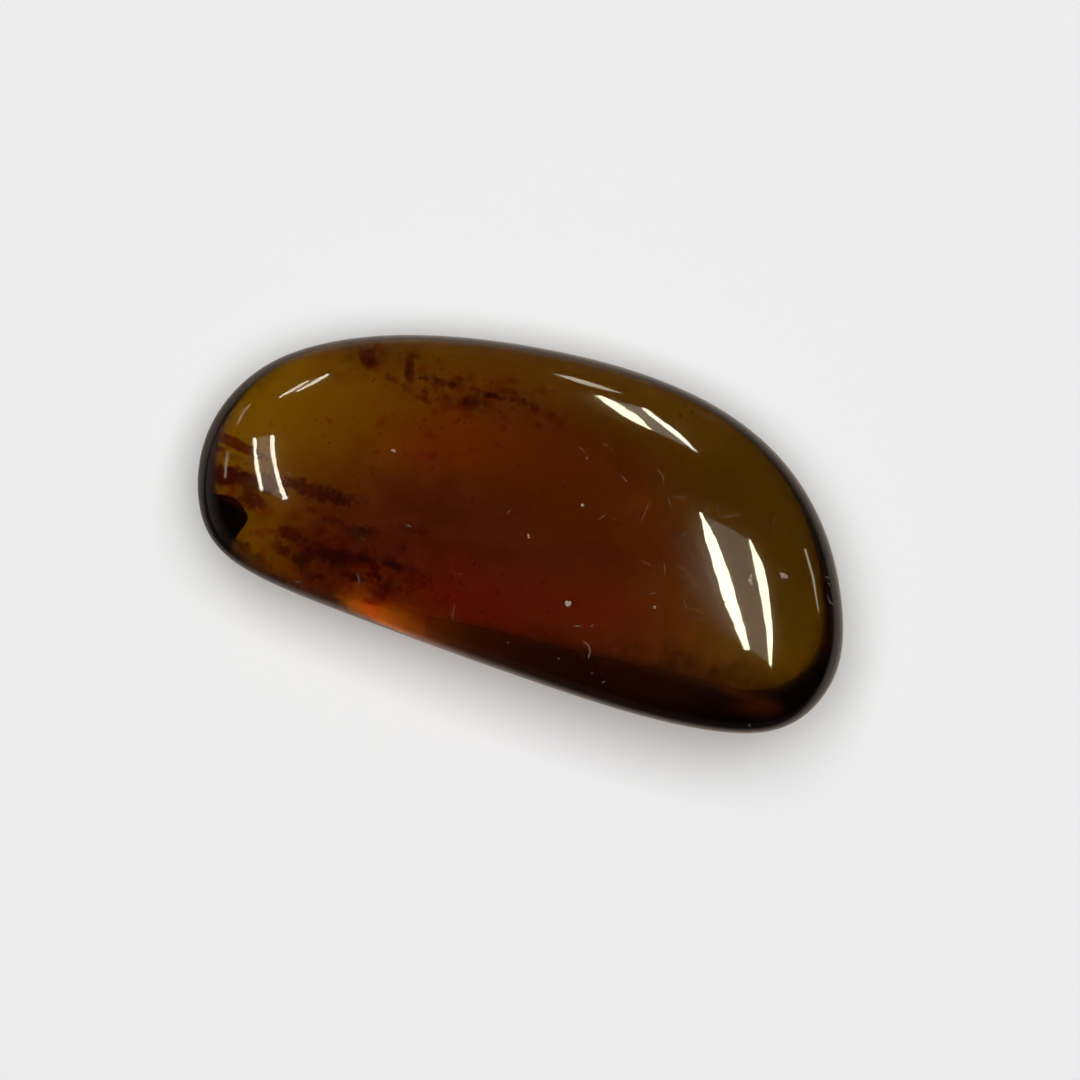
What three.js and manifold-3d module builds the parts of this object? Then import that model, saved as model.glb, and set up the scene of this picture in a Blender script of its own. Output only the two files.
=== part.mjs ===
// A polished freeform of clear brown amber with a fragment of dark bark caught in its left end.
// Millimetres, +Z up. X runs along the stone, Y across it. The origin is on the resting spot,
// under the middle of the stone's box.
//
// The stone is one closed surface of two parameters. One runs round the outline, which is the
// widest level of the stone, and the other runs from the crown over the outline to the base.
// Both halves shrink the outline towards a point while a superellipse gives the height.
import * as THREE from "three";
import { mergeVertices } from "three/addons/utils/BufferGeometryUtils.js";
import Module from "manifold-3d";

// Driving dimensions of the stone. A lean is what a value gains for each mm along X and Y.
const HEIGHT = 11.5; // at the middle of the crown, above the resting spot
const HEIGHT_LEAN = { x: 0.001, y: -0.02 }; // as a share of the height
const CROWN = { x: 1.0, y: -0.3 }; // where the dome is level
const CROWN_POWER = 2.55; // 2 is an ellipse, more is fuller
const CROWN_POWER_LEAN = { x: 0.028, y: 0.038 };
const REST = { x: 0.5, y: 0.3 }; // middle of the resting spot
const REST_CUT = 0.1; // how much polishing took off the lowest point
const GIRDLE = 6.1; // height of the outline, which is the widest level
const GIRDLE_LEAN = { x: 0.006, y: -0.158 };
const BASE_POWER = 2.7; // fullness of the underside, where more is flatter with tighter edges
const BASE_POWER_LEAN = { x: -0.027, y: 0.025 };

// The corner where the underside curves up early, which shows from above as a dark band
const HIGH_CORNER = { x: 12.2, y: -13.4, reach: 15.5, lift: 1.7, slack: 0.43 };

// The outline, seen from above, as points that a smooth closed curve runs through
const OUTLINE = [
  [20.2, 0.0], [17.8, 4.2], [13.9, 7.7], [8.8, 9.7], [3.0, 10.25],
  [-3.0, 9.8], [-8.8, 8.7], [-14.2, 6.8], [-18.6, 3.8], [-20.8, -0.2],
  [-20.8, -4.2], [-18.9, -7.7], [-15.0, -9.25], [-9.5, -9.72], [-3.5, -10.0],
  [3.0, -10.2], [9.5, -10.2], [15.3, -9.6], [19.3, -7.8], [21.0, -4.1],
].map(([x, y]) => new THREE.Vector2(x, y));

// The bark fragment: a lump in the left end that polishing left flush with the underside
const BARK_CENTRE = new THREE.Vector3(-18.2, -6.4, 3.4);
const BARK_RADII = new THREE.Vector3(2.3, 1.8, 1.9);
const BARK_TURN = 0.35; // about Z, in radians
const BARK_BUMPS = { height: 0.1, along: 3, over: 2 }; // a share of the radius, and lobes
const POCKET_GAP = 0.3; // between the fragment and the amber round it

// How finely the faces follow the surfaces, and how much closer their rows lie at the outline,
// where 1 is evenly in angle
const STONE_STEPS = { round: 92, over: 42, crowding: 1.45 };
const BARK_STEPS = { round: 20, over: 12, crowding: 1 };

// The control points of the closed cubic curve that runs through the given points. Each step
// moves every control point to where its own point of the curve would be right.
function splineControls(points) {
  const passes = 60;
  let controls = points.map((p) => p.clone());
  for (let pass = 0; pass < passes; pass++) {
    controls = points.map((p, i) => {
      const before = controls.at(i - 1);
      const after = controls[(i + 1) % points.length];
      return p.clone().multiplyScalar(6).sub(before).sub(after).divideScalar(4);
    });
  }
  return controls;
}

const controls = splineControls(OUTLINE);

// A point of the outline. The share runs from 0 to 1, once round.
function outlinePoint(share) {
  const place = share * controls.length;
  const i = Math.floor(place);
  const t = place - i;
  const weights = [
    (1 - t) ** 3 / 6,
    (3 * t ** 3 - 6 * t ** 2 + 4) / 6,
    (-3 * t ** 3 + 3 * t ** 2 + 3 * t + 1) / 6,
    t ** 3 / 6,
  ];
  return weights.reduce(
    (sum, weight, k) => sum.addScaledVector(controls[(i + k - 1 + controls.length) % controls.length], weight),
    new THREE.Vector2(),
  );
}

// What a lean adds at a place
function leaning(lean, place) {
  return lean.x * place.x + lean.y * place.y;
}

// How near a place is to the high corner, from 1 at it to nothing far from it
function nearCorner(place) {
  const away = Math.hypot(place.x - HIGH_CORNER.x, place.y - HIGH_CORNER.y);
  return Math.exp(-((away / HIGH_CORNER.reach) ** 2));
}

// A point of the stone. The share runs round the outline, and the angle from 0 at the crown over
// half pi at the outline to pi at the resting spot.
function stonePoint(share, angle) {
  const edge = outlinePoint(share);
  const corner = nearCorner(edge);
  const girdle = GIRDLE + leaning(GIRDLE_LEAN, edge) + HIGH_CORNER.lift * corner;
  const over = angle <= Math.PI / 2;
  const power = over
    ? CROWN_POWER + leaning(CROWN_POWER_LEAN, edge)
    : BASE_POWER + leaning(BASE_POWER_LEAN, edge) - HIGH_CORNER.slack * corner;
  const middle = over ? CROWN : REST;
  const out = Math.sin(angle) ** (2 / power);
  const up = Math.abs(Math.cos(angle)) ** (2 / power);
  const place = { x: middle.x + out * (edge.x - middle.x), y: middle.y + out * (edge.y - middle.y) };
  const dome = HEIGHT * (1 + leaning(HEIGHT_LEAN, place));
  const z = over ? girdle + (dome - girdle) * up : Math.max(girdle * (1 - up) - REST_CUT, 0);
  return new THREE.Vector3(place.x, place.y, z);
}

// A closed mesh of a surface that shrinks to a point at both ends of its angle
function closedSurface(point, steps) {
  const place = [point(0, 0)];
  for (let row = 1; row < steps.over; row++) {
    const side = (2 * row) / steps.over - 1;
    const angle = (Math.PI / 2) * (1 + Math.sign(side) * Math.abs(side) ** steps.crowding);
    for (let column = 0; column < steps.round; column++) {
      place.push(point(column / steps.round, angle));
    }
  }
  place.push(point(0, Math.PI));
  const at = (row, column) => 1 + (row - 1) * steps.round + (column % steps.round);
  const last = place.length - 1;
  const faces = [];
  for (let column = 0; column < steps.round; column++) {
    faces.push(0, at(1, column), at(1, column + 1));
    for (let row = 1; row < steps.over - 1; row++) {
      const [a, b] = [at(row, column), at(row + 1, column)];
      const [c, d] = [at(row + 1, column + 1), at(row, column + 1)];
      faces.push(a, b, c, a, c, d);
    }
    faces.push(last, at(steps.over - 1, column + 1), at(steps.over - 1, column));
  }
  return new THREE.BufferGeometry().setFromPoints(place).setIndex(faces);
}

// A point of the bark lump, an ellipsoid with a few soft bumps, grown outwards by a margin
function barkPoint(share, angle, margin) {
  const round = 2 * Math.PI * share;
  const bump =
    1 + BARK_BUMPS.height * Math.sin(angle) * Math.sin(BARK_BUMPS.along * round) * Math.cos(BARK_BUMPS.over * angle);
  const way = new THREE.Vector3(Math.sin(angle) * Math.cos(round), Math.sin(angle) * Math.sin(round), Math.cos(angle));
  return way
    .multiply(BARK_RADII.clone().multiplyScalar(bump).addScalar(margin))
    .applyAxisAngle(new THREE.Vector3(0, 0, 1), BARK_TURN)
    .add(BARK_CENTRE);
}

const wasm = await Module();
wasm.setup();

// A closed three.js geometry as a manifold solid
function toSolid(geometry) {
  const merged = mergeVertices(geometry);
  return new wasm.Manifold(
    new wasm.Mesh({
      numProp: 3,
      vertProperties: merged.getAttribute("position").array,
      triVerts: new Uint32Array(merged.index.array),
    }),
  );
}

// A manifold solid as a three.js geometry
function toGeometry(solid) {
  const { vertProperties, triVerts } = solid.getMesh();
  const geometry = new THREE.BufferGeometry();
  geometry.setAttribute("position", new THREE.BufferAttribute(vertProperties, 3));
  geometry.setIndex(new THREE.BufferAttribute(triVerts, 1));
  geometry.computeVertexNormals();
  return geometry;
}

function makePart() {
  const stone = toSolid(closedSurface(stonePoint, STONE_STEPS));
  const lump = toSolid(closedSurface((share, angle) => barkPoint(share, angle, 0), BARK_STEPS));
  const pocket = toSolid(closedSurface((share, angle) => barkPoint(share, angle, POCKET_GAP), BARK_STEPS));

  const amber = new THREE.Mesh(
    toGeometry(stone.subtract(pocket)),
    new THREE.MeshStandardMaterial({
      color: 0x6b3a0c, roughness: 0.05, metalness: 0, transparent: true, opacity: 0.8,
    }),
  );
  amber.name = "amber";

  const bark = new THREE.Mesh(
    toGeometry(lump.intersect(stone)),
    new THREE.MeshStandardMaterial({ color: 0x120a06, roughness: 0.6, metalness: 0 }),
  );
  bark.name = "bark_fragment";

  return new THREE.Group().add(amber, bark);
}

export default makePart();
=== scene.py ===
"""A polished freeform of clear brown amber, with debris, flow films and bark sealed in it.

The stone is one closed surface of two parameters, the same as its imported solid. What is inside it
is placed by where it shows in the reference picture: the line of sight is bent at the dome, as the
amber bends it, and followed down to the level that the debris lies at. The lamps are placed by
where the dome mirrors them. The form is worked out in millimetres and stored in metres.
"""

import logging
import math
from dataclasses import dataclass
from enum import Enum

import bpy
import numpy as np
from mathutils import Matrix, Vector


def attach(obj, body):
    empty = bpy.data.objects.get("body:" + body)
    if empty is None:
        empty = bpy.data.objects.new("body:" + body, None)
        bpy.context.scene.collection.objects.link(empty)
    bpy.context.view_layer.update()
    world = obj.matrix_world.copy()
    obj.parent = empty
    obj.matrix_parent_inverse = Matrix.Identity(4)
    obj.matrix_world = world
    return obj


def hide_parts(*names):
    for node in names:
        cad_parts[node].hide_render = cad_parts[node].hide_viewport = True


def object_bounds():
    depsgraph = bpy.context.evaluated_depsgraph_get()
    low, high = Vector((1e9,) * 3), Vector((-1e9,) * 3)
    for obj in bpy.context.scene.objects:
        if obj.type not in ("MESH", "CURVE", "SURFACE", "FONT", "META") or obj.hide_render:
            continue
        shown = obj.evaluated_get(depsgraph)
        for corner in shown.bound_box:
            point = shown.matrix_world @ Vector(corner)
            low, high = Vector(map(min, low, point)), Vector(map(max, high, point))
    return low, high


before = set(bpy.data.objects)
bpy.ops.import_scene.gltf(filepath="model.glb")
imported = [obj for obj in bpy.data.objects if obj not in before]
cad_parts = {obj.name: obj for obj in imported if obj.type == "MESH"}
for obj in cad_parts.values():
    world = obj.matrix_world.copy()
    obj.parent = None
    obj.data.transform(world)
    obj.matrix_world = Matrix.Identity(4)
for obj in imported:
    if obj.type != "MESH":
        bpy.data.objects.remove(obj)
CAD_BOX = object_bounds()

LOG = logging.getLogger("amber")
MM = 0.001


class Slot(Enum):
    """The record's material slots."""

    AMBER = "amber"
    BARK = "bark"
    DEBRIS = "debris"


@dataclass(frozen=True)
class Lean:
    """What a value gains for each millimetre along X and Y."""

    x: float
    y: float

    def at(self, place: np.ndarray) -> np.ndarray:
        """Return x times the place's x plus y times its y."""
        return self.x * place[..., 0] + self.y * place[..., 1]


@dataclass(frozen=True)
class HighCorner:
    """The corner where the underside curves up early, which shows from above as a dark band."""

    x: float = 12.2
    y: float = -13.4
    reach: float = 15.5
    lift: float = 1.7
    slack: float = 0.43

    def near(self, place: np.ndarray) -> np.ndarray:
        """Return e to the minus square of the distance over the reach."""
        away = np.hypot(place[..., 0] - self.x, place[..., 1] - self.y)
        return np.exp(-((away / self.reach) ** 2))


@dataclass(frozen=True)
class StoneForm:
    """The polished form of the stone, in millimetres."""

    height: float = 11.5
    height_lean: Lean = Lean(0.001, -0.02)
    crown: tuple[float, float] = (1.0, -0.3)
    crown_power: float = 2.55
    crown_power_lean: Lean = Lean(0.028, 0.038)
    rest: tuple[float, float] = (0.5, 0.3)
    rest_cut: float = 0.1
    girdle: float = 6.1
    girdle_lean: Lean = Lean(0.006, -0.158)
    base_power: float = 2.7
    base_power_lean: Lean = Lean(-0.027, 0.025)
    corner: HighCorner = HighCorner()
    control_passes: int = 60
    ring_steps: int = 1200
    slope_step: float = 0.02
    outline: tuple[tuple[float, float], ...] = (
        (20.2, 0.0), (17.8, 4.2), (13.9, 7.7), (8.8, 9.7), (3.0, 10.25),
        (-3.0, 9.8), (-8.8, 8.7), (-14.2, 6.8), (-18.6, 3.8), (-20.8, -0.2),
        (-20.8, -4.2), (-18.9, -7.7), (-15.0, -9.25), (-9.5, -9.72), (-3.5, -10.0),
        (3.0, -10.2), (9.5, -10.2), (15.3, -9.6), (19.3, -7.8), (21.0, -4.1),
    )

    def controls(self) -> np.ndarray:
        """Work out the control points of the closed cubic curve through the outline's points.

        Each pass moves every control point to six times its own point less its two neighbours,
        over four.

        Returns:
            One control point for each point of the outline.
        """
        points = np.array(self.outline)
        found = points.copy()
        for _ in range(self.control_passes):
            found = (6 * points - np.roll(found, 1, axis=0) - np.roll(found, -1, axis=0)) / 4
        return found

    def edge(self, share: np.ndarray) -> np.ndarray:
        """Find points of the outline, a uniform cubic B-spline.

        Args:
            share: Place along the outline, from 0 to 1 once round.

        Returns:
            The x and y of each place.
        """
        controls = self.controls()
        count = len(controls)
        place = np.mod(share, 1.0) * count
        i = np.floor(place).astype(int)
        t = (place - i)[..., None]
        weights = (
            (1 - t) ** 3,
            3 * t**3 - 6 * t**2 + 4,
            -3 * t**3 + 3 * t**2 + 3 * t + 1,
            t**3,
        )
        return sum(w * controls[(i + k - 1) % count] for k, w in enumerate(weights)) / 6

    def girdle_at(self, edge: np.ndarray) -> np.ndarray:
        """Return the height of the outline: its mean, its lean and the high corner's lift."""
        return self.girdle + self.girdle_lean.at(edge) + self.corner.lift * self.corner.near(edge)

    def crown_power_at(self, edge: np.ndarray) -> np.ndarray:
        """Return the power of the dome's superellipse towards a point of the outline."""
        return self.crown_power + self.crown_power_lean.at(edge)

    def base_power_at(self, edge: np.ndarray) -> np.ndarray:
        """Return the power of the underside's superellipse towards a point of the outline."""
        return (
            self.base_power
            + self.base_power_lean.at(edge)
            - self.corner.slack * self.corner.near(edge)
        )

    def dome_at(self, place: np.ndarray) -> np.ndarray:
        """Return the height that the dome would have if nothing rounded it off."""
        return self.height * (1 + self.height_lean.at(place))

    def surface(self, share: np.ndarray, angle: np.ndarray) -> np.ndarray:
        """Find points of the stone.

        The outline shrinks towards the crown, or towards the resting spot, by the sine of the
        angle to the power of two over the superellipse's own power. The height runs from the
        outline's to the dome's, or to nothing, by the cosine to the same power, and what lies
        under the polished resting spot is cut off flat.

        Args:
            share: Place along the outline, from 0 to 1 once round.
            angle: 0 at the crown, half pi at the outline and pi at the resting spot.

        Returns:
            The x, y and z of each point.
        """
        edge = self.edge(share)
        over = angle <= math.pi / 2
        power = np.where(over, self.crown_power_at(edge), self.base_power_at(edge))
        middle = np.where(over[..., None], np.array(self.crown), np.array(self.rest))
        out = np.abs(np.sin(angle)) ** (2 / power)
        up = np.abs(np.cos(angle)) ** (2 / power)
        place = middle + out[..., None] * (edge - middle)
        girdle = self.girdle_at(edge)
        above = girdle + (self.dome_at(place) - girdle) * up
        below = np.maximum(girdle * (1 - up) - self.rest_cut, 0.0)
        return np.concatenate([place, np.where(over, above, below)[..., None]], axis=-1)

    def spokes(self, place: np.ndarray, middle: tuple[float, float]) -> tuple[np.ndarray, np.ndarray]:
        """Find where the line from a middle through each place meets the outline.

        Args:
            place: The x and y of each place.
            middle: The point that the lines start from.

        Returns:
            The outline's points, and each place's distance as a share of the way to them.
        """
        shares = np.linspace(0.0, 1.0, self.ring_steps + 1)
        ring = self.edge(shares) - middle
        turned = np.unwrap(np.arctan2(ring[:, 1], ring[:, 0]))
        away = place - np.array(middle)
        wanted = np.arctan2(away[..., 1], away[..., 0])
        wanted = turned[0] + np.mod(wanted - turned[0], 2 * math.pi)
        edge = self.edge(np.interp(wanted, turned, shares))
        length = np.hypot(away[..., 0], away[..., 1])
        return edge, length / np.hypot(*np.moveaxis(edge - middle, -1, 0))

    def top(self, place: np.ndarray) -> np.ndarray:
        """Find the height of the dome over each place, by the superellipse of its spoke.

        Args:
            place: The x and y of each place.

        Returns:
            The height, which is the outline's for a place outside it.
        """
        edge, part = self.spokes(place, self.crown)
        power = self.crown_power_at(edge)
        girdle = self.girdle_at(edge)
        up = np.clip(1 - np.clip(part, 0, 1) ** power, 0, 1) ** (1 / power)
        return girdle + (self.dome_at(place) - girdle) * up

    def bottom(self, place: np.ndarray) -> np.ndarray:
        """Find the height of the underside under each place, by the superellipse of its spoke.

        Args:
            place: The x and y of each place.

        Returns:
            The height, which is the outline's for a place outside it.
        """
        edge, part = self.spokes(place, self.rest)
        power = self.base_power_at(edge)
        up = np.clip(1 - np.clip(part, 0, 1) ** power, 0, 1) ** (1 / power)
        return np.maximum(self.girdle_at(edge) * (1 - up) - self.rest_cut, 0.0)

    def hold(self, point: np.ndarray, skin: float) -> np.ndarray:
        """Pull points that are outside the stone, or in its skin, to just under the skin.

        At a point's height the stone reaches the share of the way to its outline that its
        superellipse gives, and a point past that moves back along its spoke.

        Args:
            point: The x, y and z of each point.
            skin: How far from the surface the points stay.

        Returns:
            The points, all inside the stone.
        """
        place = point[..., :2]
        edge, part = self.spokes(place, self.crown)
        girdle = self.girdle_at(edge)
        over = point[..., 2] > girdle
        rise = np.where(over, self.dome_at(place), 0.0) - girdle
        up = np.clip((point[..., 2] - girdle) / rise, 0, 1)
        power = np.where(over, self.crown_power_at(edge), self.base_power_at(edge))
        length = np.hypot(*np.moveaxis(edge - self.crown, -1, 0))
        limit = np.maximum((1 - up**power) ** (1 / power) - skin / length, 0.0)
        back = np.minimum(1.0, limit / np.maximum(part, 1e-6))
        place = self.crown + (place - self.crown) * back[..., None]
        return np.concatenate([place, point[..., 2:]], axis=-1)

    def upright(self, place: np.ndarray) -> np.ndarray:
        """Find the dome's outward normal from the slope of its height between close places.

        Args:
            place: The x and y of each place.

        Returns:
            One unit normal for each place.
        """
        slopes = [
            (self.top(place + side) - self.top(place - side)) / (2 * self.slope_step)
            for side in np.eye(2) * self.slope_step
        ]
        normal = np.stack([-slopes[0], -slopes[1], np.ones_like(slopes[0])], axis=-1)
        return normal / np.linalg.norm(normal, axis=-1, keepdims=True)


@dataclass(frozen=True)
class Sight:
    """The camera over the stone, and its lines of sight. Lengths are in millimetres."""

    form: StoneForm
    picture: float = 1080.0
    pixel: float = 0.062712
    roll: float = math.radians(17.78)
    stone_px: tuple[float, float] = (534.83, 510.30)
    away: float = 450.0
    index: float = 1.54
    slides: int = 5
    skin: float = 0.25
    clear: float = 0.35
    thinnest: float = 0.1
    sensor_width: float = 36.0

    def flat(self, px: np.ndarray) -> np.ndarray:
        """Turn pixels into places at the level of the outline.

        Args:
            px: Across and down in the picture.

        Returns:
            The x and y in the stone's frame.
        """
        across, down = np.moveaxis(np.asarray(px, float) - self.stone_px, -1, 0)
        c, s = math.cos(self.roll), math.sin(self.roll)
        return np.stack([across * c + down * s, across * s - down * c], axis=-1) * self.pixel

    def eye(self) -> np.ndarray:
        """Return the camera's place, over the middle of the picture."""
        half = self.picture / 2
        return np.array([*self.flat(np.array([half, half])), self.form.girdle + self.away])

    def rays(self, px: np.ndarray) -> tuple[np.ndarray, np.ndarray]:
        """Find where lines of sight meet the dome, by sliding a point along each a few times.

        Args:
            px: Across and down in the picture.

        Returns:
            The points on the dome and the unit directions from the camera.
        """
        eye = self.eye()
        flat = self.flat(px)
        slope = (flat - eye[:2]) / self.away
        place = flat
        for _ in range(self.slides):
            place = eye[:2] + slope * (eye[2] - self.form.top(place))[..., None]
        point = np.concatenate([place, self.form.top(place)[..., None]], axis=-1)
        way = point - eye
        return point, way / np.linalg.norm(way, axis=-1, keepdims=True)

    def on_dome(self, px: np.ndarray) -> np.ndarray:
        """Return the points of the dome under some pixels."""
        return self.rays(px)[0]

    def through(self, px: np.ndarray, level: np.ndarray) -> np.ndarray:
        """Follow lines of sight into the amber, bent by Snell's law, down to a level.

        Args:
            px: Across and down in the picture.
            level: The height to stop at.

        Returns:
            The points at that level.
        """
        point, way = self.rays(px)
        normal = self.form.upright(point[..., :2])
        facing = -np.sum(way * normal, axis=-1, keepdims=True)
        ratio = 1 / self.index
        bent = np.sqrt(1 - ratio**2 * (1 - facing**2))
        inside = ratio * way + (ratio * facing - bent) * normal
        run = (level - point[..., 2]) / inside[..., 2]
        return point + inside * run[..., None]

    def mirrored(self, px: np.ndarray) -> tuple[np.ndarray, np.ndarray]:
        """Find what the dome mirrors under some pixels.

        Args:
            px: Across and down in the picture.

        Returns:
            The points on the dome and the unit directions that they mirror.
        """
        point, way = self.rays(px)
        normal = self.form.upright(point[..., :2])
        return point, way - 2 * np.sum(way * normal, axis=-1, keepdims=True) * normal

    def within(self, px: np.ndarray, depth: np.ndarray) -> np.ndarray:
        """Find places in the amber under some pixels.

        Args:
            px: Across and down in the picture.
            depth: 0 just above the underside and 1 just under the dome.

        Returns:
            The points, each on the line of sight of its pixel or pulled in from the rim.
        """
        flat = self.flat(px)
        low = self.form.bottom(flat) + self.clear
        high = self.form.top(flat) - self.clear
        level = low + depth * np.maximum(high - low, self.thinnest)
        return self.form.hold(self.through(px, level), self.skin)

    def build(self) -> None:
        """Make the scene's camera, straight over the stone and turned as the picture is."""
        data = bpy.data.cameras.new("camera")
        data.sensor_width = self.sensor_width
        data.lens = data.sensor_width * self.away / (self.picture * self.pixel)
        camera = put("camera", data)
        place = Matrix.Translation(Vector(self.eye()) * MM)
        camera.matrix_world = place @ Matrix.Rotation(self.roll, 4, "Z")
        bpy.context.scene.camera = camera


def put(name: str, data: bpy.types.ID) -> bpy.types.Object:
    """Put data into the scene as a new object at the origin.

    Args:
        name: The object's name.
        data: Its mesh, camera or light.

    Returns:
        The object.
    """
    thing = bpy.data.objects.new(name, data)
    bpy.context.scene.collection.objects.link(thing)
    return thing


def directions(angle: np.ndarray, turn: np.ndarray) -> np.ndarray:
    """Find unit directions, by the sines and cosines of their two angles.

    Args:
        angle: The angle from straight up of each row.
        turn: The turn about Z of each column.

    Returns:
        The x, y and z by row and column.
    """
    angle, turn = angle[:, None], turn[None, :]
    level = np.sin(angle)
    return np.stack([level * np.cos(turn), level * np.sin(turn), np.cos(angle) + 0 * turn], axis=-1)


def quads(rows: int, across: int) -> np.ndarray:
    """Return the faces of an open grid whose points are numbered row by row."""
    at = np.arange(rows * across).reshape(rows, across)
    return np.stack([at[:-1, :-1], at[1:, :-1], at[1:, 1:], at[:-1, 1:]], axis=-1).reshape(-1, 4)


def closed_grid(rows: np.ndarray, first: np.ndarray, last: np.ndarray) -> tuple[np.ndarray, list]:
    """Close a grid that runs round in its second index with a point at each end.

    Args:
        rows: Points by row and by place round, from the first end to the last.
        first: The point that closes the first row.
        last: The point that closes the last row.

    Returns:
        The vertices and the faces, which point outwards where the rows run down.
    """
    count, around, _ = rows.shape
    points = np.vstack([first[None], rows.reshape(-1, 3), last[None]])
    at = 1 + np.arange(count * around).reshape(count, around)
    after = np.roll(at, -1, axis=1)
    bands = np.stack([at[:-1], at[1:], after[1:], after[:-1]], axis=-1).reshape(-1, 4)
    top = np.stack([np.zeros(around, int), at[0], after[0]], axis=-1)
    end = np.stack([np.full(around, len(points) - 1), after[-1], at[-1]], axis=-1)
    return points, top.tolist() + bands.tolist() + end.tolist()


def make_piece(name: str, points: np.ndarray, faces: list) -> bpy.types.Object:
    """Put a mesh of millimetres into the scene as a piece that rides on the stone's body.

    Args:
        name: The piece's name.
        points: Its vertices, in millimetres.
        faces: Its faces, as lists of vertex numbers.

    Returns:
        The object, smooth shaded and at the origin.
    """
    mesh = bpy.data.meshes.new(name)
    mesh.from_pydata((points * MM).tolist(), [], faces)
    mesh.polygons.foreach_set("use_smooth", np.ones(len(faces), bool))
    mesh.update()
    piece = put(name, mesh)
    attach(piece, "root")
    return piece


class Nodes:
    """A short way to write a material's or a world's node tree."""

    def __init__(self, tree: bpy.types.NodeTree) -> None:
        """Keep the tree."""
        self.tree = tree

    def link(self, start: bpy.types.NodeSocket, end: bpy.types.NodeSocket) -> None:
        """Join two sockets."""
        self.tree.links.new(start, end)

    def fill(self, socket: bpy.types.NodeSocket, value: object) -> None:
        """Link an input to another node's output, or give it a plain value.

        Args:
            socket: The input.
            value: An output or a plain value.
        """
        if isinstance(value, bpy.types.NodeSocket):
            self.link(value, socket)
        else:
            socket.default_value = value

    def dress(self, node: bpy.types.Node, **values: object) -> None:
        """Set a node's properties and inputs.

        Args:
            node: The node.
            **values: Properties by their name, and inputs by theirs with spaces as underscores.
        """
        for name, value in values.items():
            if hasattr(node, name):
                setattr(node, name, value)
            else:
                self.fill(node.inputs[name.replace("_", " ")], value)

    def add(self, kind: str, *inputs: object, **values: object) -> bpy.types.Node:
        """Add a node.

        Args:
            kind: The node's type, without its ShaderNode prefix.
            *inputs: Its first inputs, in order, sockets or plain values.
            **values: Its properties and other inputs, by name.

        Returns:
            The new node.
        """
        node = self.tree.nodes.new("ShaderNode" + kind)
        self.dress(node, **values)
        for socket, value in zip(node.inputs, inputs):
            self.fill(socket, value)
        return node

    def place(self) -> bpy.types.NodeSocket:
        """Give the place on the piece, in metres."""
        return self.add("TexCoord").outputs["Object"]

    def stored(self, name: str) -> bpy.types.NodeSocket:
        """Give a number that is stored in the piece's points."""
        return self.add("Attribute", attribute_name=name).outputs["Fac"]

    def noise(
        self, place: bpy.types.NodeSocket, scale: float, detail: float, roughness: float = 0.5
    ) -> bpy.types.Node:
        """Add a noise texture, with its scale in patches per metre."""
        return self.add("TexNoise", Vector=place, Scale=scale, Detail=detail, Roughness=roughness)

    def length(self, vector: bpy.types.NodeSocket) -> bpy.types.NodeSocket:
        """Give a vector's length."""
        return self.add("VectorMath", vector, operation="LENGTH").outputs["Value"]

    def times(self, first: object, second: object, **settings: object) -> bpy.types.NodeSocket:
        """Multiply two numbers."""
        return self.add("Math", first, second, operation="MULTIPLY", **settings).outputs[0]

    def ramp(
        self, value: bpy.types.NodeSocket, start: tuple[float, float],
        end: tuple[float, float] = (0.0, 1.0), kind: str = "SMOOTHSTEP",
    ) -> bpy.types.NodeSocket:
        """Turn one span of a value into another.

        Args:
            value: The value.
            start: The two ends of its own span.
            end: What they become.
            kind: How it runs between them, a smooth step or another of the node's own kinds.

        Returns:
            The new value.
        """
        node = self.add("MapRange", value, *start, *end, interpolation_type=kind)
        return node.outputs["Result"]

    def blend(
        self, share: bpy.types.NodeSocket, first: object, second: object, kind: str = "MIX"
    ) -> bpy.types.NodeSocket:
        """Mix two colours.

        Args:
            share: The second colour's share.
            first: The first colour, a socket or three plain values.
            second: The second colour, likewise.
            kind: How the second colour is laid over the first.

        Returns:
            The mixed colour.
        """
        node = self.add("Mix", share, data_type="RGBA", blend_type=kind)
        for socket, colour in zip(node.inputs[6:8], (first, second)):
            self.fill(socket, (*colour, 1.0) if isinstance(colour, tuple) else colour)
        return node.outputs[2]

    def bump(
        self, height: bpy.types.NodeSocket, strength: float, distance: float
    ) -> bpy.types.NodeSocket:
        """Turn a height into a bent normal, over a distance in metres."""
        return self.add("Bump", Strength=strength, Distance=distance, Height=height).outputs[0]

    def end(self, name: str, value: bpy.types.NodeSocket) -> None:
        """Link a value to an input of the tree's output node."""
        output = next(node for node in self.tree.nodes if node.name.endswith("Output"))
        self.link(value, output.inputs[name])


def new_material(name: str) -> tuple[bpy.types.Material, Nodes, bpy.types.Node]:
    """Make a material with one Principled shader.

    Args:
        name: The material's name.

    Returns:
        The material, its nodes and the shader.
    """
    material = bpy.data.materials.new(name)
    material.use_nodes = True
    return material, Nodes(material.node_tree), material.node_tree.nodes["Principled BSDF"]


@dataclass(frozen=True)
class Zone:
    """A soft-edged part of the stone's surface colour that passes less light, partly its own colour and
    partly painted shade. Lengths are in millimetres.
    """

    centre: tuple[float, float]
    radii: tuple[float, float]
    turn: float
    passed: tuple[float, float, float]
    soft: float = 1.0


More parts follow.
